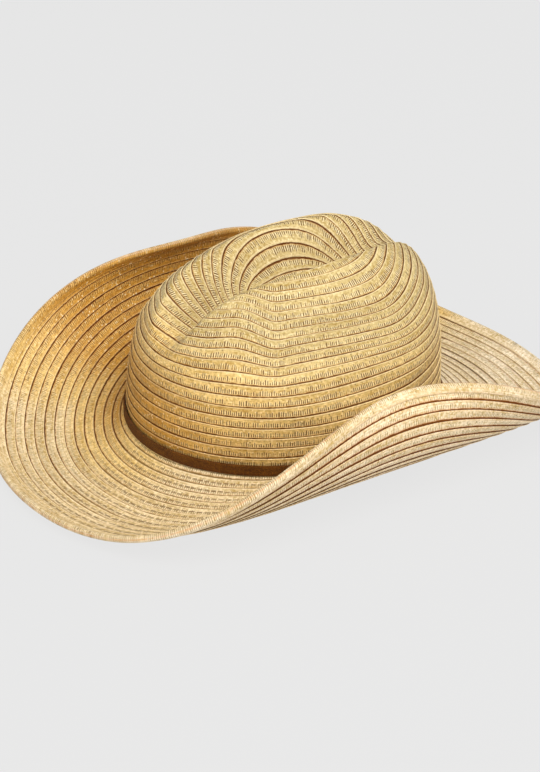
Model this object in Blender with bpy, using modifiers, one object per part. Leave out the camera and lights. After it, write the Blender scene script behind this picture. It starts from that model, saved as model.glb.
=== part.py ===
"""Straw cowboy hat: a cattleman crown and a brim rolled up at both sides.

Metres, +Z up, front of the hat towards -Y.  The hat stands on the undersides of its brim's
front and back dips, and the origin is the centre of its box, at that level.
"""
import math

import bpy
import numpy as np

# ---- driving dimensions ------------------------------------------------------------------
OVAL_LENGTH = 0.198        # outside of the crown at its base, front to back
OVAL_WIDTH = 0.178         # outside of the crown at its base, side to side
SIDE_RISE = 0.0015         # the brim break is this much higher at the sides

CROWN_HEIGHT = 0.1062      # open crown, above the brim break
FRONT_FULLNESS = 2.36      # superellipse power of the crown's front: a rounded slope
BACK_FULLNESS = 3.65       # the same for the back: a steep wall with a tight shoulder
TIP_SHIFT = 0.0059         # the middle of the tip lies this far behind the oval's centre
TIP_CORE = 0.0217          # and its courses close round a line this long to either side of it
CREASE_DEPTH = 0.0270      # centre crease, from front to back
CREASE_HALF_WIDTH = 0.0328
CREASE_HALF_LENGTH = 0.1192
CREASE_SHARPNESS = 1.66    # power that rounds its cross-section
CREASE_START = (0.35, 0.50)          # it sets in between these fractions of the way up a rib
CREASE_FRONT_FADE = (0.0593, 0.1163) # the crease runs out between these distances forward
CREASE_BACK_FADE = (0.0386, 0.0995)  # and between these distances backward
DENT_DEPTH = 0.0149        # the two side dents, which are wedges, narrow at the bottom
DENT_ANGLE = math.radians(85.6)      # middle of a dent, from the front
DENT_HALF_ANGLE = math.radians(57.1) # at its top
DENT_FOOT = 0.158          # its lowest point, as a fraction of the way up a rib
DENT_SHOULDER = 0.450      # where it is widest
DENT_MIDDLE = 0.4935       # where it is deepest
DENT_HALF_HEIGHT = 0.367
DENT_SPREAD = 0.576        # power with which the wedge widens
DENT_SHARPNESS = 1.68      # power that rounds its cross-section

BRIM_WIDTH = 0.087         # along the straw, from the crown to the rim
# slope of the brim at the crown and at the rim, in degrees, at the front, sides and back
INNER_SLOPE = (-54.0, -1.0, -34.0)
OUTER_SLOPE = (21.0, 137.0, 16.0)
ROLL_SHARPNESS = 1.75      # how firmly the side rolls are set apart from the dips
CURL_POWER = (0.57, 1.10, 0.90)      # how the slope grows across the brim: early below 1

STRAW = 0.0016             # thickness of the sewn braid
GAP = 0.0003               # between touching pieces
TIP_SEAM = 0.0009          # between the tip and the wall, which bend round the dents
EDGE_COURSE = 0.0075       # width of the braid folded over the brim's edge
EDGE_BRAID = 0.00085       # thickness of that braid
WIRE_RADIUS = 0.0007
FERRULE_RADIUS = 0.00095
FERRULE_LENGTH = 0.008
BAND_HEIGHT = 0.007
BAND_THICKNESS = 0.0012
KEEPER_HEIGHT = 0.0094
SWEATBAND_HEIGHT = 0.0344
SWEATBAND_THICKNESS = 0.0010
TAPE_THICKNESS = 0.0005
LABEL_LOW = 0.0115          # the label's lower and upper edges
LABEL_HIGH = 0.0229
REST_FLAT = 0.0010         # how much the dips' undersides are flattened where they stand

# ---- mesh density ------------------------------------------------------------------------
SEGMENTS = 64              # round the hat
BRIM_ROWS = 12
WALL_ROWS = 10
TIP_ROWS = 8
TIP_STARTS = 0.60          # fraction of the way up at which the tip is sewn on
TIP_ENDS = 0.96            # where its last ring of corners closes onto the middle
RIB_LENGTH = 0.172         # from the base to the tip over the open crown, on average
FINE = 241                 # samples for arc lengths

# ---- looks: colour, roughness and how metallic -------------------------------------------
STRAW_LOOK = ((0.62, 0.43, 0.20, 1), 0.75)
BAND_LOOK = ((0.09, 0.035, 0.012, 1), 0.60)
STEEL_LOOK = ((0.55, 0.55, 0.56, 1), 0.35, 1.0)
BRASS_LOOK = ((0.70, 0.55, 0.25, 1), 0.35, 1.0)
CLOTH_LOOK = ((0.55, 0.40, 0.24, 1), 0.90)
LABEL_LOOK = ((0.85, 0.83, 0.78, 1), 0.80)


def angles(count=SEGMENTS):
    """Directions round the hat: 0 is the front, a quarter turn is +X."""
    return np.arange(count) * (2 * math.pi / count)


def oval(t, grow=0.0):
    """Point of the base oval and its outward normal, grown by an offset."""
    a = OVAL_LENGTH / 2
    b = OVAL_WIDTH / 2
    point = np.stack([b * np.sin(t), -a * np.cos(t), 0 * t], -1)
    normal = np.stack([np.sin(t) / b, -np.cos(t) / a, 0 * t], -1)
    normal /= np.linalg.norm(normal, axis=-1, keepdims=True)
    return point + grow * normal, normal


def break_height(t):
    """Height of the brim break."""
    return SIDE_RISE * np.sin(t) ** 2


def sample(wanted, positions, columns):
    """Read each column at its own position."""
    wanted = np.broadcast_to(wanted, columns.shape[1])
    positions = np.broadcast_to(positions.T, columns.T.shape)
    return np.array([np.interp(w, p, c) for w, p, c in zip(wanted, positions, columns.T)])


def unit(vectors):
    return vectors / np.maximum(np.linalg.norm(vectors, axis=-1, keepdims=True), 1e-12)


# ---- brim surface ------------------------------------------------------------------------
def round_blend(values, t):
    """Blend (front, side, back) values smoothly round the hat."""
    front, side, back = values
    along = (front + back) / 2 + (front - back) / 2 * np.cos(t)
    weight = (np.sin(t) ** 2) ** ROLL_SHARPNESS
    return along * (1 - weight) + side * weight


def brim_rows(t, distances):
    """Middle of the brim's straw, in rows at distances from the crown."""
    start, outward = oval(t, GAP + 0.4 * STRAW)
    start[:, 2] = break_height(t)
    inner = np.radians(round_blend(INNER_SLOPE, t))
    outer = np.radians(round_blend(OUTER_SLOPE, t))
    step = BRIM_WIDTH / (FINE - 1)
    along = np.arange(FINE) * step
    middle = (along[1:, None] - step / 2) / BRIM_WIDTH
    slope = inner + (outer - inner) * middle ** round_blend(CURL_POWER, t)
    run = np.vstack([0 * t, np.cumsum(np.cos(slope), 0) * step])
    rise = np.vstack([0 * t, np.cumsum(np.sin(slope), 0) * step])
    rows = []
    for distance in distances:
        row = start + sample(distance, along, run)[:, None] * outward
        row[:, 2] += sample(distance, along, rise)
        rows.append(row)
    return np.array(rows)


def brim_surface(t, distances):
    """Middle of the brim's straw and its upward normal."""
    small = 1e-4
    rows = brim_rows(t, distances)
    outward = brim_rows(t, [d + small for d in distances]) - rows
    ahead = brim_rows(t + small, distances) - rows
    return rows, unit(np.cross(outward, ahead))


# ---- crown surface -----------------------------------------------------------------------
def open_crown(t, fractions):
    """The crown before it is creased, at fractions of each rib from the base to the tip."""
    power = (FRONT_FULLNESS + BACK_FULLNESS) / 2 + (FRONT_FULLNESS - BACK_FULLNESS) / 2 * np.cos(t)
    turn = np.linspace(0, math.pi / 2, FINE)[:, None]
    base, _ = oval(t)
    reach = np.linalg.norm(base, axis=1)
    inward = np.cos(turn).clip(0) ** (2 / power)
    height = np.sin(turn) ** (2 / power) * CROWN_HEIGHT
    step = np.hypot(np.diff(inward * reach, axis=0), np.diff(height, axis=0))
    length = np.vstack([0 * t, np.cumsum(step, 0)])
    rows = []
    for fraction in fractions:
        wanted = fraction * length[-1]
        shrink = sample(wanted, length, inward)
        rise = sample(wanted, length, height)
        row = base * shrink[:, None]
        row[:, 1] += (TIP_SHIFT * (1 - shrink) - TIP_CORE * np.cos(t)) * (1 - shrink)
        row[:, 2] = rise + break_height(t) * (1 - fraction)
        rows.append(row)
    return np.array(rows)


def fade(value, limits):
    """1 below the first limit, 0 beyond the second, smooth between."""
    x = np.clip((value - limits[0]) / (limits[1] - limits[0]), 0, 1)
    return 1 - x * x * (3 - 2 * x)


def crease(points, t, fraction):
    """How far the crown is pushed in: the centre crease and the two side dents."""
    x = points[..., 0]
    y = points[..., 1]
    half = CREASE_HALF_WIDTH * (1 - (y / CREASE_HALF_LENGTH) ** 2)
    across = np.clip(1 - (x / np.maximum(half, 1e-6)) ** 2, 0, 1) * (half > 0)
    ends = fade(-y, CREASE_FRONT_FADE) * fade(y, CREASE_BACK_FADE)
    centre = CREASE_DEPTH * across ** CREASE_SHARPNESS * ends * (1 - fade(fraction, CREASE_START))
    from_front = np.abs((t + math.pi) % (2 * math.pi) - math.pi)
    widening = np.clip((fraction - DENT_FOOT) / (DENT_SHOULDER - DENT_FOOT), 0.01, 1)
    sideways = (from_front - DENT_ANGLE) / (DENT_HALF_ANGLE * widening ** DENT_SPREAD)
    upwards = np.clip(abs(fraction - DENT_MIDDLE) / DENT_HALF_HEIGHT, 0, 1)
    wedge = np.clip(1 - sideways ** 2, 0, 1) ** DENT_SHARPNESS
    return centre + DENT_DEPTH * wedge * np.cos(upwards * math.pi / 2) ** 2


def crown_surface(t, fractions, inset=0.0):
    """Outer face of the creased crown, moved in by inset, and its outward normal."""
    small = 1e-3
    rows = open_crown(t, fractions)
    later = open_crown(t, [min(f + small, 0.9995) for f in fractions])
    before = open_crown(t, [max(f - small, 0.0) for f in fractions])
    ahead = open_crown(t + small, fractions)
    normals = unit(np.cross(ahead - rows, later - before))
    pushed = np.array([crease(row, t, f) for row, f in zip(rows, fractions)])
    points = rows - normals * (pushed + inset)[..., None]
    return points, normals


# ---- placing -----------------------------------------------------------------------------
def frame_shift():
    """Moves the drawing so that its box stands centred on the origin."""
    t = angles()
    rows, normals = brim_surface(t, np.linspace(0, BRIM_WIDTH, BRIM_ROWS))
    lowest = (rows - normals * STRAW / 2)[..., 2].min() + REST_FLAT
    middle = (rows[-1][:, 1].min() + rows[-1][:, 1].max()) / 2
    return np.array([0.0, -middle, -lowest])


SHIFT = frame_shift()


# ---- objects and materials ---------------------------------------------------------------
def clear_scene():
    for obj in list(bpy.data.objects):
        bpy.data.objects.remove(obj, do_unlink=True)


def make_collection(name):
    collection = bpy.data.collections.new(name)
    bpy.context.scene.collection.children.link(collection)
    return collection


def material(name, colour, roughness, metallic=0.0):
    mat = bpy.data.materials.new(name)
    mat.use_nodes = True
    mat.diffuse_color = colour
    shader = mat.node_tree.nodes["Principled BSDF"]
    shader.inputs["Base Color"].default_value = colour
    shader.inputs["Roughness"].default_value = roughness
    shader.inputs["Metallic"].default_value = metallic
    return mat


def add_object(name, data, look):
    obj = bpy.data.objects.new(name, data)
    hat.objects.link(obj)
    obj.data.materials.append(material(name, *look))
    return obj


def loft(name, rows, look, closed=True, pole=None):
    """Open surface through rows of points; pole is a last point that closes the top."""
    rows = np.asarray(rows) + SHIFT
    count = rows.shape[1]
    points = rows.reshape(-1, 3).tolist()
    faces = []
    for row in range(rows.shape[0] - 1):
        for i in range(count if closed else count - 1):
            j = (i + 1) % count
            faces.append((row * count + i, row * count + j,
                          (row + 1) * count + j, (row + 1) * count + i))
    if pole is not None:
        points.append((np.asarray(pole) + SHIFT).tolist())
        last = (rows.shape[0] - 1) * count
        faces += [(last + i, last + (i + 1) % count, len(points) - 1) for i in range(count)]
    mesh = bpy.data.meshes.new(name)
    mesh.from_pydata(points, [], faces)
    mesh.validate()
    obj = add_object(name, mesh, look)
    mesh.shade_smooth()
    return obj


def thicken(obj, thickness, offset):
    """Solidify: offset 0 keeps the surface in the middle, -1 grows inward from it."""
    solid = obj.modifiers.new("thickness", "SOLIDIFY")
    solid.thickness = thickness
    solid.offset = offset
    solid.use_even_offset = True
    solid.use_rim = True
    return obj


def flatten_underside(obj):
    """Bake the thickness and press what hangs below the resting level flat."""
    bpy.context.view_layer.update()
    evaluated = obj.evaluated_get(bpy.context.evaluated_depsgraph_get())
    mesh = bpy.data.meshes.new_from_object(evaluated)
    for vertex in mesh.vertices:
        vertex.co.z = max(vertex.co.z, 0.0)
    obj.modifiers.clear()
    obj.data = mesh


def tube(name, points, radius, look):
    """Round wire through points, with filled ends."""
    curve = bpy.data.curves.new(name, "CURVE")
    curve.dimensions = "3D"
    curve.bevel_depth = radius
    curve.bevel_resolution = 2
    curve.use_fill_caps = True
    spline = curve.splines.new("POLY")
    spline.points.add(len(points) - 1)
    for target, point in zip(spline.points, np.asarray(points) + SHIFT):
        target.co = (*point, 1)
    return add_object(name, curve, look)


# ---- crown -------------------------------------------------------------------------------
def build_crown_wall():
    fractions = np.linspace(0, TIP_STARTS, WALL_ROWS)
    rows, _ = crown_surface(angles(), fractions)
    rows[0][:, 2] -= STRAW / 2
    wall = loft("crown_wall", rows, STRAW_LOOK)
    return thicken(wall, STRAW, -1)


def build_crown_tip():
    seam = TIP_SEAM / RIB_LENGTH
    fractions = np.linspace(TIP_STARTS + seam, TIP_ENDS, TIP_ROWS)
    rows, _ = crown_surface(angles(), fractions)
    pole = rows[-1].mean(0)
    tip = loft("crown_tip", rows, STRAW_LOOK, pole=pole)
    return thicken(tip, STRAW, -1)


# ---- brim and its edge -------------------------------------------------------------------
def edge_offset(distance_from_rim, above):
    """Point of the brim's edge, this far in from the rim and above the straw's middle."""
    rows, normals = brim_surface(angles(), [BRIM_WIDTH - distance_from_rim])
    return rows[0] + normals[0] * above


def wire_inset():
    """Distance of the wire's centre from the rim."""
    return EDGE_BRAID + GAP + FERRULE_RADIUS


def build_brim():
    end = BRIM_WIDTH - wire_inset() - FERRULE_RADIUS - GAP
    distances = [*np.linspace(0, BRIM_WIDTH - EDGE_COURSE, BRIM_ROWS), end]
    rows, _ = brim_surface(angles(), distances)
    brim = loft("brim", rows, STRAW_LOOK)
    thicken(brim, STRAW, 0)
    flatten_underside(brim)
    return brim


def build_edge_braid():
    """A course of braid folded over the wire, open towards the crown."""
    leg = FERRULE_RADIUS + GAP + EDGE_BRAID / 2
    fold = EDGE_BRAID / 2
    section = [(EDGE_COURSE, leg), (EDGE_COURSE / 2, leg), (fold + 0.4 * leg, leg), (fold, leg * 0.6),
               (fold, -leg * 0.6), (fold + 0.4 * leg, -leg), (EDGE_COURSE / 2, -leg),
               (EDGE_COURSE, -leg)]
    rows = [edge_offset(inset, above) for inset, above in section]
    edge = loft("brim_edge_braid", rows[::-1], STRAW_LOOK)
    return thicken(edge, EDGE_BRAID, 0)


def build_edge_wire():
    """Spring wire in the fold, its ends joined at the back by a crimped ferrule."""
    ring = edge_offset(wire_inset(), 0.0)
    joint = SEGMENTS // 2
    first = ring[joint]
    last = ring[joint + 1]
    along = (last - first) / np.linalg.norm(last - first)
    centre = (first + last) / 2
    half = FERRULE_LENGTH / 2
    clear = half + GAP
    order = [ring[(joint + 1 + i) % SEGMENTS] for i in range(SEGMENTS)]
    tube("brim_wire", [centre + along * clear, *order, centre - along * clear],
         WIRE_RADIUS, STEEL_LOOK)
    tube("wire_ferrule", [centre - along * half, centre + along * half],
         FERRULE_RADIUS, BRASS_LOOK)


# ---- bands -------------------------------------------------------------------------------
def strip(low, high, outset, t=None, count=4):
    """Rows of a strip round the crown's base, this far out from its outer face."""
    t = angles() if t is None else t
    fractions = np.linspace(low, high, count) / RIB_LENGTH
    rows, _ = crown_surface(t, fractions, -outset)
    return rows


def sector(middle_degrees, steps):
    """Directions of a patch, kept on the same corners as the full rings."""
    step = 360 / SEGMENTS
    start = round(middle_degrees / step - steps / 2)
    return np.radians((start + np.arange(steps + 1)) * step)


def build_hat_band():
    low = STRAW / 2 + 2 * GAP
    rows = strip(low, low + BAND_HEIGHT, GAP)
    band = loft("hat_band", rows, BAND_LOOK)
    thicken(band, BAND_THICKNESS, 1)
    outset = 2 * GAP + BAND_THICKNESS
    rows = strip(low, low + KEEPER_HEIGHT, outset, sector(180, 2))
    keeper = loft("hat_band_keeper", rows, BAND_LOOK, closed=False)
    thicken(keeper, BAND_THICKNESS, 1)


def build_sweatband():
    inside = -(STRAW + 2 * GAP)
    rows = strip(0.0, SWEATBAND_HEIGHT, inside)
    band = loft("sweatband", rows, CLOTH_LOOK)
    thicken(band, SWEATBAND_THICKNESS, -1)
    inside -= SWEATBAND_THICKNESS + GAP
    rows = strip(0.0, SWEATBAND_HEIGHT, inside, sector(180, 2))
    tape = loft("sweatband_tape", rows, CLOTH_LOOK, closed=False)
    thicken(tape, TAPE_THICKNESS, -1)
    rows = strip(LABEL_LOW, LABEL_HIGH, inside, sector(203, 2), 2)
    label = loft("blank_label", rows, LABEL_LOOK, closed=False)
    thicken(label, TAPE_THICKNESS, -1)


clear_scene()
hat = make_collection("cowboy_hat")
build_crown_wall()
build_crown_tip()
build_brim()
build_edge_braid()
build_edge_wire()
build_hat_band()
build_sweatband()
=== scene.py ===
"""Straw cowboy hat: the looks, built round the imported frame.

The hat is one straw braid sewn round and round from the tip to the rim, each course lapped over
the one before.  Here that braid is laid along the surfaces that the frame's shells follow.
Metres, +Z up, front of the hat towards -Y.  Angles round the hat start at the front and go
towards +X.
"""
import math

import bpy
import numpy as np
from mathutils import Matrix, Vector


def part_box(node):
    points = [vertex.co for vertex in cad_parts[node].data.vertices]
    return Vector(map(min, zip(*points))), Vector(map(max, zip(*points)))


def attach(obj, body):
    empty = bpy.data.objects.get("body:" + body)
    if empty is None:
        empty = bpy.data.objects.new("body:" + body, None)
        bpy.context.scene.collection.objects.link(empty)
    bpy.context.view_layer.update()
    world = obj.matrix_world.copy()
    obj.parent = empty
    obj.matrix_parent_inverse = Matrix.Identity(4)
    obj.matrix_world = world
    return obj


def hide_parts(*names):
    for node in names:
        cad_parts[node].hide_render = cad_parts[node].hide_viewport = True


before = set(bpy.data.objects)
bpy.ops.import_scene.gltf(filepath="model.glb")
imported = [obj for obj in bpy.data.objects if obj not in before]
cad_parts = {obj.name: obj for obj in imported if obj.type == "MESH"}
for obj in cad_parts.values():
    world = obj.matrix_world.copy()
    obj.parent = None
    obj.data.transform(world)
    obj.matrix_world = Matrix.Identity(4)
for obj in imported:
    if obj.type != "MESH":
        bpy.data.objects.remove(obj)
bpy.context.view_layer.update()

MM = 0.001

# ---- the surfaces that the frame's shells follow -----------------------------------------
OVAL_LENGTH = 0.198        # outside of the crown at its base, front to back
OVAL_WIDTH = 0.178         # outside of the crown at its base, side to side
SIDE_RISE = 0.0015         # the brim break is this much higher at the sides
CROWN_HEIGHT = 0.1062      # open crown, above the brim break
FRONT_FULLNESS = 2.36      # superellipse power of the crown's front
BACK_FULLNESS = 3.65       # and of its back
TIP_SHIFT = 0.0059         # the middle of the tip lies this far behind the oval's centre
TIP_CORE = 0.0217          # and its courses close round a line this long to either side of it
TIP_OVERLAP = 0.00042      # the last courses cross that line by this much
OVERLAP_POWER = 40         # power of the climb with which they are drawn together
CREASE_DEPTH = 0.0270      # centre crease, from front to back
CREASE_HALF_WIDTH = 0.0328
CREASE_HALF_LENGTH = 0.1192
CREASE_FRONT_FADE = (0.0593, 0.1163)  # the crease runs out between these distances forward
CREASE_BACK_FADE = (0.0386, 0.0995)   # and between these distances backward
CREASE_SHARPNESS = 1.66    # power that rounds its cross-section
CREASE_START = (0.35, 0.50)           # it sets in between these fractions of the way up a rib
DENT_DEPTH = 0.0149        # the two side dents, which are wedges, narrow at the bottom
DENT_ANGLE = math.radians(85.6)       # middle of a dent, from the front
DENT_HALF_ANGLE = math.radians(57.1)  # at its top
DENT_FOOT = 0.158          # its lowest point, as a fraction of the way up a rib
DENT_SHOULDER = 0.450      # where it is widest
DENT_MIDDLE = 0.4935       # where it is deepest
DENT_HALF_HEIGHT = 0.367
DENT_SPREAD = 0.576        # power with which the wedge widens
DENT_SHARPNESS = 1.68      # power that rounds its cross-section
BRIM_WIDTH = 0.087         # along the straw, from the crown to the rim
# slope of the brim at the crown and at the rim, in degrees, at the front, sides and back
INNER_SLOPE = (-54.0, -1.0, -34.0)
OUTER_SLOPE = (21.0, 137.0, 16.0)
ROLL_SHARPNESS = 1.75      # how firmly the side rolls are set apart from the dips
CURL_POWER = (0.57, 1.10, 0.90)      # how the slope grows across the brim: early below 1
STRAW = 0.0016             # thickness of the sewn braid
GAP = 0.0003               # between touching pieces
BREAK_OFFSET = GAP + 0.4 * STRAW     # the brim's middle starts this far outside the oval
RIB_LENGTH = 0.172         # from the base to the tip over the open crown, on average
FINE = 241                 # samples for arc lengths

# ---- the braid ---------------------------------------------------------------------------
CROWN_TURNS = 26           # courses from the break to the middle of the tip
WALL_TURNS = 16            # of these, the ones that belong to the wall
BRIM_TURNS = 13            # courses from the break to the folded edge course
EDGE_COURSE = 0.0075       # the edge course's upper leg
EDGE_UNDER = 0.0062        # and its lower leg
BRIM_END = 0.0036          # the brim's braid stops this far from the rim, inside the fold
LAP = 0.0017               # a course lies this far under the next one out
PLY = 0.00068              # thickness of one course
SEAM = math.radians(180)   # where each spiral starts: the back
SLIVER = 0.0002            # width left where a course runs out
LEAN = 1.08                # plies that a course rises over one pitch, to clear its neighbour
ROUGH_TURN = 0.6           # metres along one turn, roughly, which spaces the knots below
SLOW_DRIFT = (0.045, 0.00022)        # knots this far apart are off by up to this, up or down
QUICK_DRIFT = (0.011, 0.00007)       # and so are these
LIFT_DRIFT = (0.016, 0.00006)        # and these, in or out
# where the crown was pinched: (rise, degrees from the front, spread) of its courses
PULLS = [(-0.0040, 0, 17), (0.0040, 39, 10), (-0.0022, 56, 6), (0.0015, 77, 11),
         (-0.0088, 118, 19)]
PULL_START = (0.045, 0.090)          # the pulls set in between these climbs
PULL_END = (0.100, 0.142)            # and run out between these
FLOOR_GAP = 0.00004        # the lowest straw stays this far above the floor


def unit(vectors):
    """Vectors made one long."""
    return vectors / np.maximum(np.linalg.norm(vectors, axis=-1, keepdims=True), 1e-12)


def sample(wanted, positions, values):
    """Read each column's values at its own wanted positions."""
    columns = zip(wanted.T, positions.T, values.T)
    return np.array([np.interp(w, p, v) for w, p, v in columns]).T


def oval(t, grow=0.0):
    """Point of the base oval and its outward normal, grown by an offset."""
    a = OVAL_LENGTH / 2
    b = OVAL_WIDTH / 2
    point = np.stack([b * np.sin(t), -a * np.cos(t), 0 * t], -1)
    normal = unit(np.stack([np.sin(t) / b, -np.cos(t) / a, 0 * t], -1))
    return point + grow * normal, normal


def break_height(t):
    """Height of the brim break."""
    return SIDE_RISE * np.sin(t) ** 2


def round_blend(values, t):
    """Blend (front, side, back) values smoothly round the hat."""
    front, side, back = values
    along = (front + back) / 2 + (front - back) / 2 * np.cos(t)
    weight = (np.sin(t) ** 2) ** ROLL_SHARPNESS
    return along * (1 - weight) + side * weight


def brim_middle(t, distance):
    """Middle of the brim's straw, at distances from the crown (rows) and angles (columns)."""
    start, outward = oval(t, BREAK_OFFSET)
    start[:, 2] = break_height(t)
    inner = np.radians(round_blend(INNER_SLOPE, t))
    outer = np.radians(round_blend(OUTER_SLOPE, t))
    step = BRIM_WIDTH / (FINE - 1)
    along = np.arange(FINE) * step
    middle = (along[1:, None] - step / 2) / BRIM_WIDTH
    slope = inner + (outer - inner) * middle ** round_blend(CURL_POWER, t)
    run = np.vstack([0 * t, np.cumsum(np.cos(slope), 0) * step])
    rise = np.vstack([0 * t, np.cumsum(np.sin(slope), 0) * step])
    positions = np.broadcast_to(along[:, None], run.shape)
    before = np.minimum(distance, 0)
    points = start + (sample(distance, positions, run) + before)[..., None] * outward
    points[..., 2] += sample(distance, positions, rise)
    return points


def brim_surface(t, climb):
    """Brim at climbs from -BRIM_WIDTH at the rim to 0 at the crown, and its upward normal."""
    small = 1e-4
    distance = np.minimum(-climb, BRIM_WIDTH - small)
    points = brim_middle(t, distance)
    outward = brim_middle(t, distance + small) - brim_middle(t, distance - small)
    ahead = brim_middle(t + small, distance) - points
    return points, unit(np.cross(outward, ahead))


def open_crown(t, fraction):
    """The crown before it is creased, at fractions of each rib from the base to the tip."""
    power = (FRONT_FULLNESS + BACK_FULLNESS) / 2 + (FRONT_FULLNESS - BACK_FULLNESS) / 2 * np.cos(t)
    turn = np.linspace(0, math.pi / 2, FINE)[:, None]
    base, _ = oval(t)
    inward = np.cos(turn).clip(0) ** (2 / power)
    height = np.sin(turn) ** (2 / power) * CROWN_HEIGHT
    reach = np.linalg.norm(base, axis=1)
    step = np.hypot(np.diff(inward * reach, axis=0), np.diff(height, axis=0))
    length = np.vstack([0 * t, np.cumsum(step, 0)])
    wanted = fraction * length[-1]
    shrink = sample(wanted, length, inward)
    rise = sample(wanted, length, height)
    points = base * shrink[..., None]
    points[..., 1] += (TIP_SHIFT * (1 - shrink) - TIP_CORE * np.cos(t)) * (1 - shrink)
    points[..., 2] = rise + break_height(t) * (1 - fraction)
    return points


def fade(value, limits):
    """1 below the first limit, 0 beyond the second, smooth between."""
    x = np.clip((value - limits[0]) / (limits[1] - limits[0]), 0, 1)
    return 1 - x * x * (3 - 2 * x)


def crease(points, t, fraction):
    """How far the crown is pushed in: the centre crease and the two side dents."""
    x = points[..., 0]
    y = points[..., 1]
    half = CREASE_HALF_WIDTH * (1 - (y / CREASE_HALF_LENGTH) ** 2)
    across = np.clip(1 - (x / np.maximum(half, 1e-6)) ** 2, 0, 1) * (half > 0)
    ends = fade(-y, CREASE_FRONT_FADE) * fade(y, CREASE_BACK_FADE)
    centre = CREASE_DEPTH * across ** CREASE_SHARPNESS * ends * (1 - fade(fraction, CREASE_START))
    from_front = np.abs((t + math.pi) % (2 * math.pi) - math.pi)
    widening = np.clip((fraction - DENT_FOOT) / (DENT_SHOULDER - DENT_FOOT), 0.01, 1)
    sideways = (from_front - DENT_ANGLE) / (DENT_HALF_ANGLE * widening ** DENT_SPREAD)
    upwards = np.clip(abs(fraction - DENT_MIDDLE) / DENT_HALF_HEIGHT, 0, 1)
    wedge = np.clip(1 - sideways ** 2, 0, 1) ** DENT_SHARPNESS
    return centre + DENT_DEPTH * wedge * np.cos(upwards * math.pi / 2) ** 2


def crown_surface(t, climb, inset=STRAW / 2):
    """Creased crown at climbs from 0 at the break to RIB_LENGTH, and its outward normal."""
    small = 1e-3
    fraction = np.clip(climb / RIB_LENGTH, 0, 0.9998)
    rows = open_crown(t, fraction)
    later = open_crown(t, np.minimum(fraction + small, 0.9995))
    before = open_crown(t, np.maximum(fraction - small, 0))
    ahead = open_crown(t + small, fraction)
    open_normals = unit(np.cross(ahead - rows, later - before))
    points = rows - open_normals * (crease(rows, t, fraction) + inset)[..., None]
    points[..., 0] -= TIP_OVERLAP * np.sin(t) * fraction ** OVERLAP_POWER
    return points, open_normals


def crown_rows(t, climb):
    """The creased crown as the courses run on it, drawn up or down where it was pinched."""
    from_front = np.degrees(np.abs((t + math.pi) % (2 * math.pi) - math.pi))
    pull = sum(rise * np.exp(-((from_front - angle) / spread) ** 2) for rise, angle, spread in PULLS)
    drawn = (1 - fade(climb, PULL_START)) * fade(climb, PULL_END)
    return crown_surface(t, climb + pull * drawn)


def drawing_shift():
    """From the surfaces' own origin, the middle of the brim break, to the frame's."""
    rim, _ = brim_surface(np.radians(np.arange(360.0)), np.full((1, 360), -BRIM_WIDTH))
    low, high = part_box("brim_edge_braid")
    wall_low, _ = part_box("crown_wall")
    middle = (rim[..., 1].min() + rim[..., 1].max()) / 2
    return np.array([0.0, (low[1] + high[1]) / 2 - middle, wall_low[2] + STRAW / 2])


SHIFT = drawing_shift()


# ---- meshes ------------------------------------------------------------------------------
def wander(along, every, amount, seed):
    """Slow random drift along a length, with a knot at every so many metres."""
    count = int(along[-1] / every) + 2
    knots = np.random.RandomState(seed).uniform(-amount, amount, count)
    return np.interp(along, np.arange(count) * every, knots)


def mesh_object(name, points, faces, look, sharp=50):
    """A smooth mesh whose edges stay sharp beyond so many degrees."""
    mesh = bpy.data.meshes.new(name)
    mesh.from_pydata(np.asarray(points).tolist(), [], faces)
    mesh.validate()
    mesh.shade_smooth()
    mesh.set_sharp_from_angle(angle=math.radians(sharp))
    mesh.materials.append(look)
    obj = bpy.data.objects.new(name, mesh)
    bpy.context.scene.collection.objects.link(obj)
    return obj


def paint(obj, name, *columns):
    """Give each point three numbers, which the material reads by name."""
    layer = obj.data.attributes.new(name, "FLOAT_VECTOR", "POINT")
    values = np.stack(np.broadcast_arrays(*columns), -1)
    layer.data.foreach_set("vector", values.astype(np.float32).ravel())


def tube_faces(rings, count, closed):
    """Faces between rings of points; open tubes get a cap at each end."""
    faces = []
    for ring in range(rings if closed else rings - 1):
        here = ring * count
        after = (ring + 1) % rings * count
        for i in range(count):
            j = (i + 1) % count
            faces.append((here + i, here + j, after + j, after + i))
    if not closed:
        faces.append(tuple(range(count))[::-1])
        faces.append(tuple((rings - 1) * count + i for i in range(count)))
    return faces


def off_the_floor(points):
    """Lift each ring (column) that dips below the floor until it rests on it."""
    dip = FLOOR_GAP - points[..., 2].min(0)
    points[..., 2] += np.maximum(dip, 0)
    return points


# Section of one course: share of its width from the lower edge, and height over its middle in
# plies.  The outer face first, with a raised selvedge at the upper edge, then the inner face.
OUTER_FACE = [(0.0, 0.0), (0.015, 0.38), (0.10, 0.50), (0.30, 0.58), (0.55, 0.60), (0.80, 0.52),
              (0.885, 0.50), (0.93, 0.74), (0.975, 0.66), (1.0, 0.0)]
INNER_FACE = [(0.985, -0.38), (0.80, -0.50), (0.45, -0.56), (0.115, -0.50), (0.06, -0.70),
              (0.02, -0.50)]


def course_climbs(turn, share, pitch, first, limits, length, seed):
    """How far up the surface each point of the section lies at each turn."""
    drift = wander(length, *SLOW_DRIFT, seed) + wander(length, *QUICK_DRIFT, seed + 1)
    climb = first + pitch * turn + drift + share * (pitch + LAP)
    climb = np.maximum(climb, limits[0] + share * SLIVER)
    return np.minimum(climb, limits[1] - (1 - share) * SLIVER)


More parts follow.
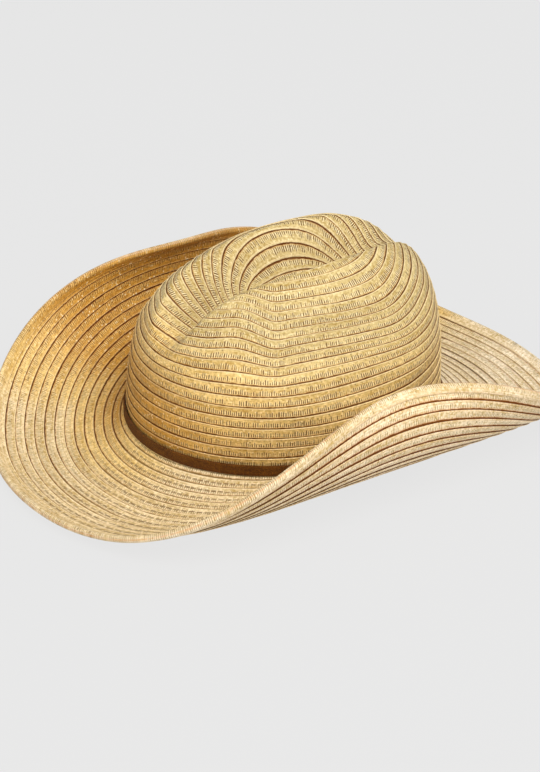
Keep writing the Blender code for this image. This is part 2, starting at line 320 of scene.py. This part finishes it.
def lay_braid(name, surface, tones, turns, per_turn, pitch, first, limits, look, seed):
    """Sew a spiral of braid onto a surface.

    first is how far up the surface the lower edge of turn 0 starts, limits are the lowest and
    highest climbs that the braid may reach.
    """
    section = np.array(OUTER_FACE + INNER_FACE)
    share = section[:, :1]
    width = pitch + LAP
    turn = np.linspace(turns[0], turns[1], round((turns[1] - turns[0]) * per_turn) + 1)
    t = SEAM + 2 * math.pi * turn
    length = (turn - turn[0]) * ROUGH_TURN
    climb = course_climbs(turn, share, pitch, first, limits, length, seed)
    middle, normal = surface(t, climb)
    lean = PLY * LEAN * width / pitch
    lift = wander(length, *LIFT_DRIFT, seed + 2)
    height = (share - 0.5) * lean + section[:, 1:] * PLY + lift
    points = off_the_floor(middle + normal * height[..., None] + SHIFT)
    path = points[len(OUTER_FACE) // 2]
    along = np.concatenate([[0], np.cumsum(np.linalg.norm(np.diff(path, axis=0), axis=1))])
    ordered = points.transpose(1, 0, 2).reshape(-1, 3)
    obj = mesh_object(name, ordered, tube_faces(len(turn), len(section), False), look)
    outside = np.array([1.0] * len(OUTER_FACE) + [0.0] * len(INNER_FACE))
    warm, stitched = tones(t, climb)
    paint(obj, "braid", along[:, None] / MM, share.T * width / MM, turn[:, None])
    paint(obj, "tone", outside, warm.T, stitched.T)
    return obj


# ---- where the straw is painted golden as shade, painted pale as lit, or openly stitched ---
FAR_ROLL = math.radians(253)         # middle of the painted golden shade in the far roll
LIT_SIDE = math.radians(145)    # where the brim is painted palest, as lit most
STITCHED_SIDE = math.radians(28)     # middle of the openly stitched front
NEAR_CROWN = (0.0, 0.052)            # painted golden shade runs out between these distances from the crown
CROWN_LOW = (0.015, 0.105)           # and between these climbs up it
PALE_SIDE = math.radians(115)        # where the crown has the least painted golden shade


def brim_tones(t, climb):
    """How golden the brim's straw is painted, as shade and bounce light (below 0, painted pale as
    lit), and how openly stitched it is.
    """
    far = np.clip(2.2 * np.cos(t - FAR_ROLL) - 0.6, 0, 1) * np.clip(-3 * np.sin(t), 0, 1)
    near_crown = fade(-climb, NEAR_CROWN) * np.clip(0.45 - np.sin(t), 0, 1)
    golden = np.maximum(far, 0.9 * near_crown)
    # painted light: the straw is painted pale towards the lit side
    painted_light = np.clip(np.cos(t - LIT_SIDE), 0, 1)
    front = np.clip(np.cos(t - STITCHED_SIDE), 0, 1) ** 2
    stitched = fade(1 - front, (0.12, 0.50))
    return golden - 0.8 * painted_light, np.broadcast_to(stitched, climb.shape)


def crown_tones(t, climb):
    """The same for the crown: painted golden shade and bounce light low down and on its far side,
    sewn close everywhere.
    """
    low = fade(climb, CROWN_LOW)
    far = np.clip(0.45 - 0.75 * np.cos(t - PALE_SIDE), 0, 1)
    return np.clip(low * (0.30 + far), 0, 1), np.zeros_like(climb)


# ---- materials ---------------------------------------------------------------------------
class Graph:
    """Short names for building the nodes of one material."""

    def __init__(self, name):
        self.material = bpy.data.materials.new(name)
        self.material.use_nodes = True
        self.tree = self.material.node_tree
        self.shader = self.tree.nodes["Principled BSDF"]

    def put(self, socket, value):
        if isinstance(value, bpy.types.NodeSocket):
            self.tree.links.new(value, socket)
        elif isinstance(value, tuple) and len(value) == 3 and socket.type == "RGBA":
            socket.default_value = (*value, 1)
        else:
            socket.default_value = value

    def node(self, kind, values=(), **settings):
        made = self.tree.nodes.new(kind)
        for key, value in settings.items():
            setattr(made, key, value)
        for key, value in dict(values).items():
            self.put(made.inputs[key], value)
        return made

    def math(self, operation, *values):
        made = self.node("ShaderNodeMath", operation=operation)
        for socket, value in zip(made.inputs, values):
            self.put(socket, value)
        return made.outputs[0]

    def add(self, a, *more):
        for b in more:
            a = self.math("ADD", a, b)
        return a

    def sub(self, a, *more):
        for b in more:
            a = self.math("SUBTRACT", a, b)
        return a

    def mul(self, a, *more):
        for b in more:
            a = self.math("MULTIPLY", a, b)
        return a

    def floor(self, value):
        return self.math("FLOOR", value)

    def arch(self, value):
        """0 at each whole number, 1 halfway between."""
        return self.math("SINE", self.mul(self.math("FRACT", value), math.pi))

    def ramp(self, value, start, end, low=0.0, high=1.0):
        """Smooth step from low at start to high at end."""
        made = self.node("ShaderNodeMapRange", {0: value, 1: start, 2: end, 3: low, 4: high},
                         interpolation_type="SMOOTHSTEP")
        return made.outputs[0]

    def vector(self, x, y, z=0.0):
        return self.node("ShaderNodeCombineXYZ", {0: x, 1: y, 2: z}).outputs[0]

    def noise(self, vector, detail=2.0):
        """Noise from 0 to 1 with features about one unit across."""
        made = self.node("ShaderNodeTexNoise", {"Vector": vector, "Scale": 1.0, "Detail": detail})
        return self.ramp(made.outputs[0], 0.28, 0.72)

    def random(self, x, y, z=0.0):
        """A number from 0 to 1 for each place, without any smoothness."""
        place = self.vector(x, y, z)
        made = self.node("ShaderNodeTexWhiteNoise", {"Vector": place}, noise_dimensions="3D")
        return made.outputs["Value"]

    def mix(self, share, a, b, **settings):
        """Colour a where the share is 0, b where it is 1."""
        made = self.node("ShaderNodeMix", data_type="RGBA", **settings)
        self.put(made.inputs[0], share)
        self.put(made.inputs[6], a)
        self.put(made.inputs[7], b)
        return made.outputs[2]

    def blend(self, share, a, b):
        """Number a where the share is 0, b where it is 1."""
        made = self.node("ShaderNodeMix", data_type="FLOAT")
        self.put(made.inputs[0], share)
        self.put(made.inputs[2], a)
        self.put(made.inputs[3], b)
        return made.outputs[0]

    def tint(self, colour, factors):
        """Colour with its red, green and blue multiplied by factors."""
        return self.mix(1.0, colour, factors, blend_type="MULTIPLY")

    def attribute(self, name):
        made = self.node("ShaderNodeAttribute", attribute_name=name)
        split = self.node("ShaderNodeSeparateXYZ", {0: made.outputs["Vector"]})
        return split.outputs[0], split.outputs[1], split.outputs[2]

    def finish(self, colour, roughness, height, relief, sheen=0.0):
        """Connect the shader; relief is how tall a height of 1 is, in metres."""
        bump = self.node("ShaderNodeBump", {"Height": height, "Distance": relief, "Strength": 1.0})
        self.put(self.shader.inputs["Base Color"], colour)
        self.put(self.shader.inputs["Roughness"], roughness)
        self.put(self.shader.inputs["Normal"], bump.outputs[0])
        self.put(self.shader.inputs["Sheen Weight"], sheen)
        self.put(self.shader.inputs["Sheen Roughness"], 0.4)
        return self.material


STRAW_PALE = (0.73, 0.555, 0.28)
STRAW_CROWN = (0.575, 0.435, 0.172)
STRAW_GLOW = (0.74, 0.505, 0.165)    # painted bounce light: golden straw in the light
STRAW_GOLD = (0.565, 0.285, 0.037)   # and at its deepest, as painted shade
GLOW_AT = 0.34                       # how golden straw is at the first of these two
# painted light: pale, washed-out straw where the light falls
STRAW_LIT_PALE = (0.95, 0.82, 0.58)
STRAW_UNDER = (0.80, 0.62, 0.35)
DULL = (0.64, 0.54, 0.30)            # multiply a straw's tone for its darkest strands
FRESH = (1.24, 1.31, 1.60)           # and for its palest
# Painted shade: the sewing line's crevice, outside and underneath, and the shade beside it
CREVICE = (0.115, 0.036, 0.009)      # the sewing line darkened with painted crevice shade, on the outside
CREVICE_UNDER = (0.17, 0.055, 0.013)
CREVICE_SIDE_SHADE = (0.55, 0.23, 0.07)
HOLE = (0.15, 0.080, 0.020)
DASH = (0.24, 0.145, 0.05)           # the plait's open stitches along the front of the brim
# painted highlight: glints on the strands' tops and along a course's free edge
PAINTED_HIGHLIGHT = (0.92, 0.76, 0.46)
RIDGE_HIGHLIGHT = (0.95, 0.82, 0.55)           # painted highlight on the ribs' tops; the next is the same in golden straw
RIDGE_HIGHLIGHT_GOLD = (0.88, 0.60, 0.22)
LIP_UNDER = (0.80, 0.55, 0.30)       # a course's free edge, on the underside
STRAND = 1.1               # mm along the braid for one strand of the plait
PLAIT_ROW = 1.3            # mm across the braid for one row of it
SPECK = 1.3                # mm along the braid between its finest specks
RIB = 1.28                 # mm between the plait's ribs
RIB_END = (3.0, 4.9)       # mm from the sewing line to where the shortest and longest end
STITCH_COUNT = 156.5       # open stitches per turn: the half shifts neighbouring courses
DASH_ROW = (2.3, 2.7, 3.4, 3.8)      # mm from the sewing line over which they fade in and out
LINE_PALE = 0.44           # mm, width of the dark sewing line with its painted crevice shade, in pale straw
LINE_GOLD = 0.66           # in golden straw
LINE_STITCHED = 0.75       # along the openly stitched front
LINE_UNDER = 0.80          # and on the underside
LINE_SOFT = 0.32           # mm over which its edge fades
STRAW_RELIEF = 0.00022     # metres of bump


class Straw(Graph):
    """Plaited straw, read from the braid's own length and width in millimetres."""

    def __init__(self, name, pitch):
        super().__init__(name)
        self.along, self.across, self.turn = self.attribute("braid")
        self.outside, self.warm, self.stitched = self.attribute("tone")
        self.turn_number = self.floor(self.turn)
        # painted light: how pale the straw is painted where it is lit
        self.painted_light = self.math("MAXIMUM", self.mul(self.warm, -1.0), 0.0)
        self.wobble = self.sub(self.cloudy(0.30, self.mul(self.turn, 3.1), detail=3.0), 0.5)
        self.patch = self.cloudy(1 / 11, self.mul(self.across, 1 / 6), self.mul(self.turn, 1.7))
        self.streak = self.cloudy(1 / 26, self.mul(self.across, 1.2), self.mul(self.turn, 2.3), 3.0)
        self.from_line, self.from_lip = self.distances((pitch + LAP) / MM, LAP / MM)
        self.cell, self.cushion = self.plait()

    def cloudy(self, rate, y, z=0.0, detail=2.0):
        """Noise that changes along the braid at a rate per millimetre."""
        return self.noise(self.vector(self.mul(self.along, rate), y, z), detail)

    def distances(self, width, lap):
        """Millimetres from the sewing line, which wobbles, and from the course's free edge."""
        line_out = self.sub(self.across, lap)
        line_in = self.sub(width - lap, self.across)
        line = self.add(self.blend(self.outside, line_in, line_out), self.mul(self.wobble, 0.45))
        return line, self.blend(self.outside, self.across, self.sub(width, self.across))

    def plait(self):
        """Its strands: a random number for each, and a cushion that is tallest in the middle."""
        rows = self.mul(self.across, 1 / PLAIT_ROW)
        row = self.floor(rows)
        offset = self.mul(self.math("MODULO", row, 2.0), 0.5)
        column = self.add(self.mul(self.along, 1 / STRAND), offset)
        cushion = self.math("POWER", self.mul(self.arch(column), self.arch(rows)), 0.5)
        return self.random(self.floor(column), row), cushion

    def strands(self, tone):
        """Colour of the strands, before anything else shows on them: painted golden shade and bounce
        light, and painted light that makes them pale.
        """
        top = self.mix(self.ramp(self.warm, 0.0, GLOW_AT), tone, STRAW_GLOW)
        top = self.mix(self.ramp(self.warm, GLOW_AT, 1.0), top, STRAW_GOLD)
        top = self.mix(self.painted_light, top, STRAW_LIT_PALE)
        colour = self.mix(self.outside, STRAW_UNDER, top)
        step = self.floor(self.mul(self.along, 1 / SPECK))
        speck = self.random(step, self.turn_number, self.floor(self.across))
        cloud = self.cloudy(1 / 70, self.turn, 4.0)
        fresh = self.add(self.mul(self.cell, 0.40), self.mul(speck, 0.50),
                         self.mul(self.streak, 0.40), self.mul(self.sub(cloud, 1.05), 0.35))
        return self.tint(colour, self.mix(fresh, DULL, FRESH))

    def ribs(self):
        """The gaps between the ribs that run across the plait, and the ribs' tops."""
        tick = self.add(self.mul(self.along, 1 / RIB), self.mul(self.wobble, 0.5))
        chance = self.random(self.floor(tick), self.turn_number, 7.0)
        to_end = self.sub(self.blend(chance, *RIB_END), self.from_line)
        zone = self.mul(self.ramp(self.from_line, 0.8, 1.4), self.ramp(to_end, 0.0, 0.8))
        from_tick = self.math("ABSOLUTE", self.sub(self.math("FRACT", tick), 0.5))
        gap = self.ramp(from_tick, 0.10, 0.28, 1.0, 0.0)
        shown = self.ramp(self.add(self.patch, self.mul(chance, 0.6)), 0.25, 0.80)
        return self.mul(gap, zone, shown), self.mul(self.ramp(from_tick, 0.25, 0.42), zone)

    def dashes(self):
        """A row of open stitches along the front of the brim."""
        stitch = self.math("FRACT", self.mul(self.turn, STITCH_COUNT))
        row = self.mul(self.ramp(self.from_line, *DASH_ROW[:2]),
                       self.ramp(self.from_line, *DASH_ROW[2:], 1.0, 0.0))
        ends = self.mul(self.ramp(stitch, 0.04, 0.12), self.ramp(stitch, 0.76, 0.84, 1.0, 0.0))
        return self.mul(ends, row, self.stitched, self.outside, self.blend(self.patch, 0.55, 0.95))

    def sewing_line_and_shade(self):
        """The dark sewing line where a course dips under the next, deepened with painted crevice
        shade, and the painted shade along it.
        """
        plain = self.blend(self.warm, LINE_PALE, LINE_GOLD)
        width = self.blend(self.outside, LINE_UNDER, self.blend(self.stitched, plain, LINE_STITCHED))
        share = self.math("DIVIDE", self.sub(self.from_line, width), LINE_SOFT)
        line = self.ramp(share, 0.0, 1.0, 1.0, 0.0)
        worn = self.mul(self.outside, self.cloudy(1 / 8, self.mul(self.turn, 3.7), 9.0))
        # the dark line fades where light is painted on
        kept = self.add(1.0, self.mul(self.painted_light, self.outside, -0.9))
        shade = self.ramp(share, 0.6, 3.6, 1.0, 0.0)
        return self.mul(line, self.blend(worn, 1.0, 0.88), kept), shade


def straw_material(name, pitch, tone, rib_strength):
    """Straw of one tone, for braid sewn at one pitch."""
    g = Straw(name, pitch)
    rib, ridge = g.ribs()
    dash = g.dashes()
    line, shade = g.sewing_line_and_shade()
    hole = g.mul(g.ramp(g.cell, 0.030, 0.022), g.ramp(g.cushion, 0.35, 0.7), g.patch)
    # painted glints on the tops of a few strands
    glint = g.mul(g.ramp(g.cell, 0.93, 0.96), g.ramp(g.cushion, 0.3, 0.8))
    # painted highlight along a course's free edge on the outside; on the underside the edge is
    # tinted a deeper orange
    lip = g.ramp(g.from_lip, 0.55, 0.95, 1.0, 0.0)

    line_colour = g.mix(g.outside, CREVICE_UNDER, g.mix(g.stitched, CREVICE, DASH))
    ridge_highlight_colour = g.mix(g.warm, RIDGE_HIGHLIGHT, RIDGE_HIGHLIGHT_GOLD)
    lip_colour = g.mix(g.outside, LIP_UNDER, PAINTED_HIGHLIGHT)
    colour = g.strands(tone)
    colour = g.mix(g.mul(glint, g.blend(g.warm, 0.35, 0.7)), colour, PAINTED_HIGHLIGHT)
    # painted highlight on the ribs' tops
    colour = g.mix(g.mul(ridge, g.blend(g.patch, 0.30, 0.70)), colour, ridge_highlight_colour)
    colour = g.mix(g.mul(rib, rib_strength), colour, HOLE)
    colour = g.mix(g.mul(hole, 0.7), colour, HOLE)
    colour = g.mix(dash, colour, DASH)
    # painted shade beside the dark line
    colour = g.mix(g.mul(shade, g.blend(g.outside, 0.62, 0.30)), colour, CREVICE_SIDE_SHADE)
    # the sewing line, darkened with painted crevice shade
    colour = g.mix(line, colour, line_colour)
    colour = g.mix(g.mul(lip, g.blend(g.warm, 0.40, 0.15)), colour, lip_colour)

    raised = g.add(g.mul(g.cushion, 0.55), g.mul(g.streak, 0.25), g.mul(ridge, 0.35))
    height = g.sub(raised, g.mul(rib, 0.6), g.mul(line, 0.8), g.mul(dash, 0.6), g.mul(hole, 0.8))
    roughness = g.add(0.48, g.mul(g.sub(1.0, g.cushion), 0.25))
    # no reflection along the dark line, which is partly painted crevice shade
    g.put(g.shader.inputs["Specular IOR Level"], g.blend(line, 0.35, 0.0))
    return g.finish(colour, roughness, height, STRAW_RELIEF, sheen=0.03)


def weave_material(name, colours, thread, relief, roughness, sheen):
    """Plain weave: threads along and across the strip take turns on top.

    colours are its darkest and lightest, thread is the millimetres from one to the next.
    """
    g = Graph(name)
    along, across, _ = g.attribute("braid")
    u = g.mul(along, 1 / thread)
    v = g.mul(across, 1 / thread)
    over = g.math("MODULO", g.add(g.floor(u), g.floor(v)), 2.0)
    warp = g.arch(u)
    weft = g.arch(v)
    top = g.blend(over, g.mul(warp, g.ramp(weft, 0.0, 0.4)), g.mul(weft, g.ramp(warp, 0.0, 0.4)))
    fibre = g.random(g.floor(u), g.floor(v), over)
    drift = g.noise(g.vector(g.mul(along, 0.06), g.mul(across, 0.2)), 3.0)
    share = g.mul(top, g.add(0.25, g.add(g.mul(fibre, 0.45), g.mul(drift, 0.3))))
    g.put(g.shader.inputs["Specular IOR Level"], 0.10)
    return g.finish(g.mix(share, *colours), roughness, top, relief, sheen)


METAL_WORN = (0.75, 0.75, 0.75)      # multiply a metal's tone along its scratches
METAL_BRIGHT = (1.05, 1.05, 1.05)    # and between them
SCRATCHES = (900.0, 900.0, 2600.0)   # per metre, along each axis


def metal_material(name, tone):
    """Drawn or crimped metal with fine scratches."""
    g = Graph(name)
    place = g.node("ShaderNodeTexCoord").outputs["Object"]
    scaled = g.node("ShaderNodeVectorMath", {0: place, 1: SCRATCHES}, operation="MULTIPLY")
    scratch = g.noise(scaled.outputs[0], 4.0)
    colour = g.tint(tone, g.mix(scratch, METAL_WORN, METAL_BRIGHT))
    g.put(g.shader.inputs["Metallic"], 1.0)
    return g.finish(colour, g.blend(scratch, 0.28, 0.5), scratch, 0.00002)


# ---- straw pieces ------------------------------------------------------------------------
WALL_SAMPLES = 320         # sections of braid per turn
TIP_SAMPLES = 240
BRIM_SAMPLES = 400
EDGE_SAMPLES = 420
CROWN_RIBS = 1.0           # how dark the gaps between the ribs are
BRIM_RIBS = 0.5
EDGE_RIBS = 0.45
WALL_FOOT = -STRAW / 4     # climb at which the crown's braid starts
BRIM_TOP = 0.0006          # climb at which the brim's braid ends


def build_crown():
    pitch = RIB_LENGTH / CROWN_TURNS
    look = straw_material("crown_straw", pitch, STRAW_CROWN, CROWN_RIBS)
    shared = dict(pitch=pitch, first=-pitch, limits=(WALL_FOOT, RIB_LENGTH), look=look)
    wall = lay_braid("straw_wall", crown_rows, crown_tones, (0, WALL_TURNS), WALL_SAMPLES,
                     seed=11, **shared)
    tip = lay_braid("straw_tip", crown_rows, crown_tones, (WALL_TURNS, CROWN_TURNS + 1),
                    TIP_SAMPLES, seed=23, **shared)
    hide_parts("crown_wall")
    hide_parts("crown_tip")
    return [wall, tip]


def build_brim():
    course_start = -(BRIM_WIDTH - EDGE_COURSE)
    pitch = -course_start / BRIM_TURNS
    look = straw_material("brim_straw", pitch, STRAW_PALE, BRIM_RIBS)
    brim = lay_braid("straw_brim", brim_surface, brim_tones, (0, BRIM_TURNS + 1), BRIM_SAMPLES,
                     pitch, first=course_start - pitch - LAP,
                     limits=(BRIM_END - BRIM_WIDTH, BRIM_TOP), look=look, seed=37)
    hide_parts("brim")
    return brim


# Section of the folded edge: metres in from the rim, and millimetres over the brim's middle.
# It runs from the upper leg's end round the rim to the lower leg's end, and back inside.
EDGE_SECTION = [
    (EDGE_COURSE, 0.30), (EDGE_COURSE - 0.0002, 0.95), (EDGE_COURSE - 0.0007, 1.20),
    (EDGE_COURSE - 0.0012, 1.05), (0.0045, 1.45), (0.0022, 2.00), (0.0009, 1.75), (0.0001, 0.70),
    (0.0, 0.0),
    (0.0001, -0.70), (0.0009, -1.75), (0.0022, -2.00), (0.0040, -1.85),
    (EDGE_UNDER - 0.0004, -1.75), (EDGE_UNDER, -1.30), (EDGE_UNDER - 0.0002, -1.00),
    (0.0040, -1.15), (0.0022, -1.25), (0.0012, -1.0), (0.0008, 0.0), (0.0012, 1.0),
    (0.0022, 1.25), (0.0045, 0.70), (EDGE_COURSE - 0.0006, 0.30)]
RIM_POINT = EDGE_SECTION.index((0.0, 0.0))
UPPER_SHOWN = 0.87         # millimetres of the plait's pattern for each one of the upper leg


def build_edge():
    """The last course, folded over the brim's wire."""
    look = straw_material("edge_straw", EDGE_COURSE, STRAW_PALE, EDGE_RIBS)
    section = np.array(EDGE_SECTION)
    inset = section[:, :1]
    above = section[:, 1:] * MM
    t = SEAM + np.arange(EDGE_SAMPLES) * (2 * math.pi / EDGE_SAMPLES)
    climb = np.broadcast_to(inset - BRIM_WIDTH, (len(section), EDGE_SAMPLES))
    middle, normal = brim_surface(t, climb)
    points = off_the_floor(middle + normal * above[..., None] + SHIFT)
    ordered = points.transpose(1, 0, 2).reshape(-1, 3)
    obj = mesh_object("straw_edge", ordered, tube_faces(EDGE_SAMPLES, len(section), True), look)
    steps = np.linalg.norm(np.diff(points[RIM_POINT], axis=0), axis=1)
    along = np.concatenate([[0], np.cumsum(steps)])
    upper = (EDGE_COURSE + LAP - (EDGE_COURSE - inset) * UPPER_SHOWN) / MM
    across = np.where(above > 0, upper, (EDGE_UNDER - inset) / MM)
    warm, _ = brim_tones(t, np.full(EDGE_SAMPLES, -BRIM_WIDTH))
    paint(obj, "braid", along[:, None] / MM, across.T, BRIM_TURNS + 1.0)
    paint(obj, "tone", (above.T > 0) * 1.0, warm[:, None], 0.0)
    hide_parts("brim_edge_braid")
    return obj


STEEL = (0.42, 0.42, 0.44)
BRASS = (0.62, 0.42, 0.16)


def dress(part, look):
    """Give a node that keeps its mesh from the frame a real surface."""
    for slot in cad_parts[part].material_slots:
        slot.link = "OBJECT"
        slot.material = look


# ---- bands -------------------------------------------------------------------------------
FEWEST_SECTIONS = 16       # along a short strip; a whole one has one per degree
CORD_COLOURS = ((0.020, 0.006, 0.002), (0.35, 0.122, 0.011))
SWEAT_COLOURS = ((0.30, 0.20, 0.10), (0.62, 0.47, 0.29))
TAPE_COLOURS = ((0.26, 0.17, 0.08), (0.55, 0.41, 0.25))
LABEL_COLOURS = ((0.62, 0.59, 0.52), (0.86, 0.84, 0.78))
CORD = 0.0012              # thickness of the hat band and of its loop
BAND_LOW = STRAW / 2 + 2 * GAP       # lower edge of both, up the crown
BAND_WIDTH = 0.0070
LOOP_WIDTH = 0.0094
SWEAT_CLOTH = 0.0010       # thickness of the sweatband
TAPE_CLOTH = 0.0005        # and of the tape and the label on it
SWEAT_EDGES = (0.0003, 0.0344)       # lower and upper edge, up the crown
TAPE_EDGES = (0.0006, 0.0340)
LABEL_EDGES = (0.0115, 0.0229)


def strip(name, span, edges, inner, thickness, look, waves=0.0, seed=1):
    """A strip of cloth stretched round the base of the crown.

    span is its first and last angle in degrees, edges are its lower and upper edge up the
    crown, inner is how far its inner face stands off the crown's outer face.
    """
    low, high = edges
    whole = span[1] - span[0] == 360
    count = max(FEWEST_SECTIONS, round(span[1] - span[0]))
    first, last = (math.radians(angle) for angle in span)
    t = np.linspace(first, last, count, endpoint=not whole)
    edge = 0.3 * thickness
    steps = np.linspace(low + edge, high - edge, 7)[1:-1]
    section = [(low + edge, 1.0), (low, 0.75), (low, 0.25), (low + edge, 0.0)]
    section += [(level, 0.0) for level in steps]
    section += [(high - edge, 0.0), (high, 0.25), (high, 0.75), (high - edge, 1.0)]
    section += [(level, 1.0) for level in steps[::-1]]
    level = np.array(section)[:, :1]
    out = np.array(section)[:, 1:] * thickness + inner
    rows, normal = crown_surface(t, np.broadcast_to(level, (len(section), count)), 0.0)
    length = (t - t[0]) * (OVAL_LENGTH + OVAL_WIDTH) / 4
    ripple = wander(length, 0.012, waves, seed)
    points = rows + normal * (out + ripple)[..., None] + SHIFT
    ordered = points.transpose(1, 0, 2).reshape(-1, 3)
    obj = mesh_object(name, ordered, tube_faces(count, len(section), whole), look, 60)
    paint(obj, "braid", length[:, None] / MM, level.T / MM, 0.0)
    return obj


def build_bands():
    look = weave_material("band_weave", CORD_COLOURS, 0.75, 0.0003, 0.7, 0.03)
    band = strip("woven_band", (0, 360), (BAND_LOW, BAND_LOW + BAND_WIDTH), GAP, CORD, look,
                 waves=0.00012, seed=5)
    look = weave_material("loop_weave", CORD_COLOURS, 0.6, 0.0003, 0.7, 0.03)
    loop = strip("band_loop", (175, 185), (BAND_LOW, BAND_LOW + LOOP_WIDTH), 2 * GAP + CORD, CORD,
                 look)
    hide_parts("hat_band")
    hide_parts("hat_band_keeper")
    return [band, loop]


def build_sweatband():
    inner = -(STRAW + 2 * GAP) - SWEAT_CLOTH
    on_it = inner - GAP - TAPE_CLOTH
    look = weave_material("sweat_weave", SWEAT_COLOURS, 0.5, 0.0002, 0.9, 0.2)
    band = strip("sweat_cloth", (0, 360), SWEAT_EDGES, inner, SWEAT_CLOTH, look,
                 waves=0.0001, seed=7)
    look = weave_material("tape_weave", TAPE_COLOURS, 0.4, 0.0001, 0.9, 0.2)
    tape = strip("seam_tape", (174.5, 185.5), TAPE_EDGES, on_it, TAPE_CLOTH, look)
    look = weave_material("label_weave", LABEL_COLOURS, 0.25, 0.0001, 0.8, 0.2)
    label = strip("plain_label", (197, 208), LABEL_EDGES, on_it, TAPE_CLOTH, look)
    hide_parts("sweatband")
    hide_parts("sweatband_tape")
    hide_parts("blank_label")
    return [band, tape, label]


# ---- stage -------------------------------------------------------------------------------
CAMERA_AZIMUTH = math.radians(55.93)
CAMERA_ELEVATION = math.radians(28.74)
CAMERA_ROLL = math.radians(0.55)
CAMERA_DISTANCE = 1.454
CAMERA_LENS = 110.57
CAMERA_SHIFT = (-0.0178, 0.0209)
LIGHT_DISTANCE = 2.2
# name: azimuth and elevation in degrees, size in metres, watts, colour
SOFTBOXES = {
    "key": (80, 58, 1.4, 36, (1.0, 0.98, 0.95)),
    "fill": (5, 38, 1.4, 11, (1.0, 0.98, 0.96)),
    "low_fill": (70, 6, 1.2, 18, (1.0, 0.99, 0.97)),
    "back_fill": (135, 42, 1.4, 9, (1.0, 0.98, 0.96))}
WORLD_LIGHT = 0.42
FLOOR_HALF = 9.0
FLOOR_LEVEL = -0.0002
FLOOR_GREY = (0.04, 0.04, 0.04)      # what it reflects: hardly any
FLOOR_GLOW = (0.77, 0.77, 0.77)      # and what it gives off, so that it stays even and pale


def direction(azimuth, elevation):
    """From the hat towards a place round it: azimuth 0 is in front, 90 degrees is +X."""
    level = math.cos(elevation)
    return Vector((math.sin(azimuth) * level, -math.cos(azimuth) * level, math.sin(elevation)))


def build_camera():
    back = direction(CAMERA_AZIMUTH, CAMERA_ELEVATION)
    side = Vector((math.cos(CAMERA_AZIMUTH), math.sin(CAMERA_AZIMUTH), 0.0))
    upward = back.cross(side)
    right = side * math.cos(CAMERA_ROLL) + upward * math.sin(CAMERA_ROLL)
    above = upward * math.cos(CAMERA_ROLL) - side * math.sin(CAMERA_ROLL)
    camera = bpy.data.objects.new("camera", bpy.data.cameras.new("camera"))
    bpy.context.scene.collection.objects.link(camera)
    turn = Matrix((right, above, back)).transposed().to_4x4()
    camera.matrix_world = Matrix.Translation(Vector(SHIFT) + back * CAMERA_DISTANCE) @ turn
    camera.data.lens = CAMERA_LENS
    camera.data.sensor_width = 36
    camera.data.shift_x, camera.data.shift_y = CAMERA_SHIFT
    camera.data.clip_end = 30
    bpy.context.scene.camera = camera


def softbox(name, azimuth, elevation, size, power, colour):
    """Square area light aimed at the hat."""
    data = bpy.data.lights.new(name, "AREA")
    data.size = size
    data.energy = power
    data.color = colour
    light = bpy.data.objects.new(name, data)
    bpy.context.scene.collection.objects.link(light)
    towards = direction(math.radians(azimuth), math.radians(elevation))
    light.location = towards * LIGHT_DISTANCE
    light.rotation_euler = towards.to_track_quat("Z", "Y").to_euler()


def build_floor():
    g = Graph("paper_floor")
    g.put(g.shader.inputs["Base Color"], FLOOR_GREY)
    g.put(g.shader.inputs["Emission Color"], FLOOR_GLOW)
    g.put(g.shader.inputs["Emission Strength"], 0.98)
    g.put(g.shader.inputs["Roughness"], 1.0)
    g.put(g.shader.inputs["Specular IOR Level"], 0.0)
    square = [(-1, -1), (1, -1), (1, 1), (-1, 1)]
    corners = [(x * FLOOR_HALF, y * FLOOR_HALF, FLOOR_LEVEL) for x, y in square]
    mesh_object("floor", corners, [(0, 1, 2, 3)], g.material)


def build_lights():
    world = bpy.data.worlds.new("studio")
    world.use_nodes = True
    background = world.node_tree.nodes["Background"]
    background.inputs[0].default_value = (1.0, 1.0, 1.0, 1)
    background.inputs[1].default_value = WORLD_LIGHT
    bpy.context.scene.world = world
    for name, settings in SOFTBOXES.items():
        softbox(name, *settings)
    bpy.context.scene.view_settings.view_transform = "Standard"


build_camera()
build_floor()
build_lights()
straw = build_crown() + [build_brim()]
edge = build_edge()
dress("brim_wire", metal_material("spring_steel", STEEL))
dress("wire_ferrule", metal_material("brass", BRASS))
cords = build_bands()
sweat, tape, label = build_sweatband()

for piece in straw:
    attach(piece, "hat_body")
for cord in cords:
    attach(cord, "band")
for piece in (edge, sweat, tape, label):
    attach(piece, "hat_body")
